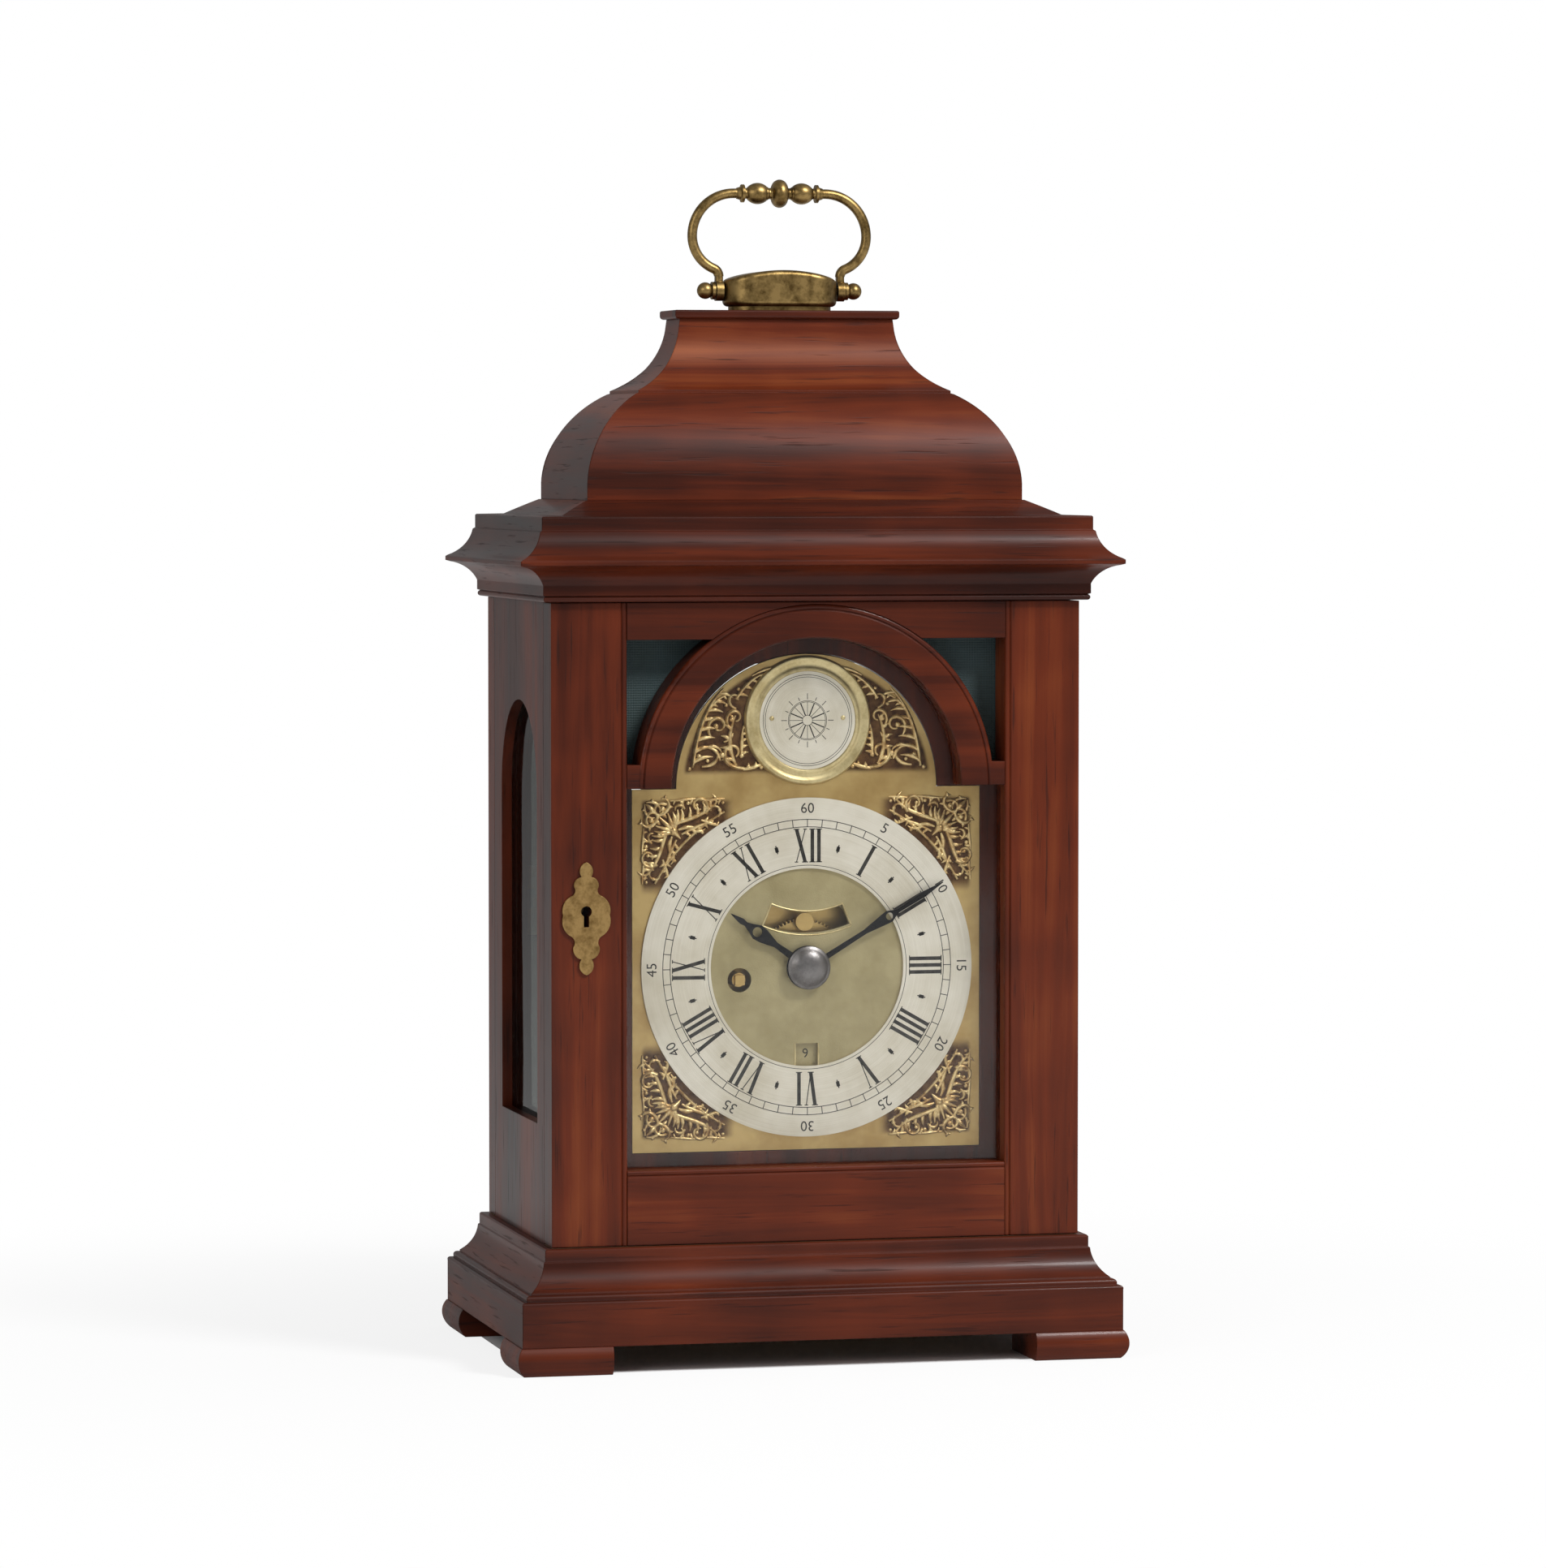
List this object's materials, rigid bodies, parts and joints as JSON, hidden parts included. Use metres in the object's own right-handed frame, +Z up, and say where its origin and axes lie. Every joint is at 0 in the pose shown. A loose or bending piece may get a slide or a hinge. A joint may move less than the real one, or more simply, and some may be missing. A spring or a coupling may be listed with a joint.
{
  "type": "bracket clock",
  "caption": "Mahogany bell-top bracket clock with a carrying handle, an arched glazed door and a brass break-arch dial.",
  "frame": {"origin": "middle of the case's plan, on the surface that the feet stand on", "axes": "+Z up; the dial faces -Y; +X is to the right as seen from the front"},
  "size_m": [0.266, 0.174, 0.5044],
  "materials": {
    "mahogany": "polished mahogany veneer",
    "plain_wood": "plain oak, unpolished",
    "glass": "clear old glass",
    "silk": "dark blue-green silk",
    "handle_brass": "worn polished brass",
    "escutcheon_brass": "dull brass",
    "dial_brass": "matted brass",
    "gilt": "cast and gilded brass",
    "silvered": "silvered brass, brushed",
    "blued_steel": "dark blued steel",
    "movement_brass": "bright brass",
    "steel": "bright steel",
    "gut": "twisted gut"
  },
  "bodies": {
    "case": {"feet": "mahogany", "plinth_moulding": "mahogany", "bottom_board": "plain_wood", "side_board_left": "mahogany", "side_board_right": "mahogany", "side_glasses": "glass", "side_glass_beads": "mahogany", "cornice_moulding": "mahogany", "top_board": "plain_wood", "bell_top": "mahogany", "bell_cap": "mahogany", "handle_plate": "handle_brass", "handle_pivots_and_bolts": "handle_brass", "case_hinges_and_strikes": "movement_brass", "dial_mask": "mahogany", "dial_plate": "dial_brass", "chapter_ring": "silvered", "boss_disc": "silvered", "spandrels_and_boss_ring": "gilt", "dial_feet_and_studs": "movement_brass", "movement_plates": "movement_brass", "pillars_and_bolts": "movement_brass", "seat_board": "plain_wood", "cocks_and_post": "movement_brass", "barrel_arbor_and_click": "steel", "gut_line": "gut"},
    "front_door": {"front_door_stiles": "mahogany", "front_door_bottom_rail": "mahogany", "front_door_top_rail": "mahogany", "front_door_arch": "mahogany", "front_glass": "glass", "front_glass_beads": "mahogany", "corner_silks": "silk", "front_door_hinges_and_lock": "movement_brass", "front_escutcheon": "escutcheon_brass"},
    "front_lock_bolt": {"front_lock_bolt": "steel"},
    "back_door": {"back_door_frame": "mahogany", "back_glass": "glass", "back_glass_beads": "mahogany", "back_door_hinges_and_lock": "movement_brass", "back_escutcheon": "escutcheon_brass"},
    "back_lock_bolt": {"back_lock_bolt": "steel"},
    "handle": {"handle_bail": "handle_brass"},
    "minute_hand_work": {"cannon_wheel": "movement_brass", "minute_hand": "blued_steel"},
    "hour_hand_work": {"hour_wheel": "movement_brass", "hour_hand": "blued_steel"},
    "minute_wheel": {"minute_wheel": "movement_brass"},
    "date_driving_wheel": {"date_driving_wheel": "movement_brass"},
    "date_ring": {"date_ring": "silvered"},
    "crown_wheel": {"crown_wheel_and_arbor": "movement_brass"},
    "contrate_wheel": {"contrate_wheel_and_arbor": "movement_brass"},
    "centre_arbor": {"centre_arbor": "movement_brass"},
    "great_wheel": {"great_wheel": "movement_brass"},
    "fusee": {"fusee": "movement_brass"},
    "barrel": {"spring_barrel": "movement_brass", "mainspring": "steel"},
    "pendulum": {"verge_and_pendulum_rod": "steel", "pendulum_bobs": "movement_brass"}
  },
  "joints": [
    {"name": "front_door_hinge", "type": "hinge", "parent": "case", "child": "front_door", "pos_m": [0.1164, -0.05285, 0.188], "axis": [0, 0, 1], "range_deg": [0, 180]},
    {"name": "front_bolt_slide", "type": "slide", "parent": "front_door", "child": "front_lock_bolt", "axis": [-1, 0, 0], "range_m": [0, 0.005]},
    {"name": "back_door_hinge", "type": "hinge", "parent": "case", "child": "back_door", "pos_m": [0.1164, 0.05485, 0.188], "axis": [0, 0, -1], "range_deg": [0, 180]},
    {"name": "back_bolt_slide", "type": "slide", "parent": "back_door", "child": "back_lock_bolt", "axis": [-1, 0, 0], "range_m": [0, 0.005]},
    {"name": "handle_swing", "type": "hinge", "parent": "case", "child": "handle", "pos_m": [0, 0, 0.4564], "axis": [1, 0, 0], "range_deg": [-110, 110]},
    {"name": "minute_hand_turn", "type": "hinge", "parent": "case", "child": "minute_hand_work", "pos_m": [0, 0, 0.1674], "axis": [0, 1, 0], "continuous": true},
    {"name": "hour_hand_turn", "type": "hinge", "parent": "case", "child": "hour_hand_work", "pos_m": [0, 0, 0.1674], "axis": [0, 1, 0], "continuous": true},
    {"name": "minute_wheel_turn", "type": "hinge", "parent": "case", "child": "minute_wheel", "pos_m": [0.00375, 0, 0.14613], "axis": [0, 1, 0], "continuous": true},
    {"name": "date_driving_wheel_turn", "type": "hinge", "parent": "case", "child": "date_driving_wheel", "pos_m": [0.01474, 0, 0.15708], "axis": [0, 1, 0], "continuous": true},
    {"name": "date_ring_turn", "type": "hinge", "parent": "case", "child": "date_ring", "pos_m": [-0.004, 0, 0.1674], "axis": [0, 1, 0], "continuous": true},
    {"name": "crown_wheel_turn", "type": "hinge", "parent": "case", "child": "crown_wheel", "pos_m": [0, -0.008, 0.213], "axis": [0, 0, 1], "continuous": true},
    {"name": "contrate_wheel_turn", "type": "hinge", "parent": "case", "child": "contrate_wheel", "pos_m": [0, 0, 0.1932], "axis": [0, 1, 0], "continuous": true},
    {"name": "centre_arbor_turn", "type": "hinge", "parent": "case", "child": "centre_arbor", "pos_m": [0, 0, 0.1674], "axis": [0, 1, 0], "continuous": true},
    {"name": "great_wheel_turn", "type": "hinge", "parent": "case", "child": "great_wheel", "pos_m": [-0.0295, 0, 0.1623], "axis": [0, 1, 0], "continuous": true},
    {"name": "fusee_winding", "type": "hinge", "parent": "great_wheel", "child": "fusee", "pos_m": [-0.0295, 0, 0.1623], "axis": [0, 1, 0], "continuous": true},
    {"name": "barrel_turn", "type": "hinge", "parent": "case", "child": "barrel", "pos_m": [0.033, 0, 0.158], "axis": [0, 1, 0], "continuous": true},
    {"name": "pendulum_swing", "type": "hinge", "parent": "case", "child": "pendulum", "pos_m": [0, 0, 0.232], "axis": [0, 1, 0], "range_deg": [-12, 12]}
  ],
  "couplings": [
    {"joint": "hour_hand_turn", "follows": "minute_hand_turn", "ratio": 0.083333},
    {"joint": "minute_wheel_turn", "follows": "minute_hand_turn", "ratio": -1},
    {"joint": "date_driving_wheel_turn", "follows": "minute_hand_turn", "ratio": -0.041667},
    {"joint": "contrate_wheel_turn", "follows": "crown_wheel_turn", "ratio": -0.090909},
    {"joint": "centre_arbor_turn", "follows": "crown_wheel_turn", "ratio": 0.0068182},
    {"joint": "great_wheel_turn", "follows": "crown_wheel_turn", "ratio": -0.00056818},
    {"joint": "barrel_turn", "follows": "fusee_winding", "ratio": 0.625}
  ]
}
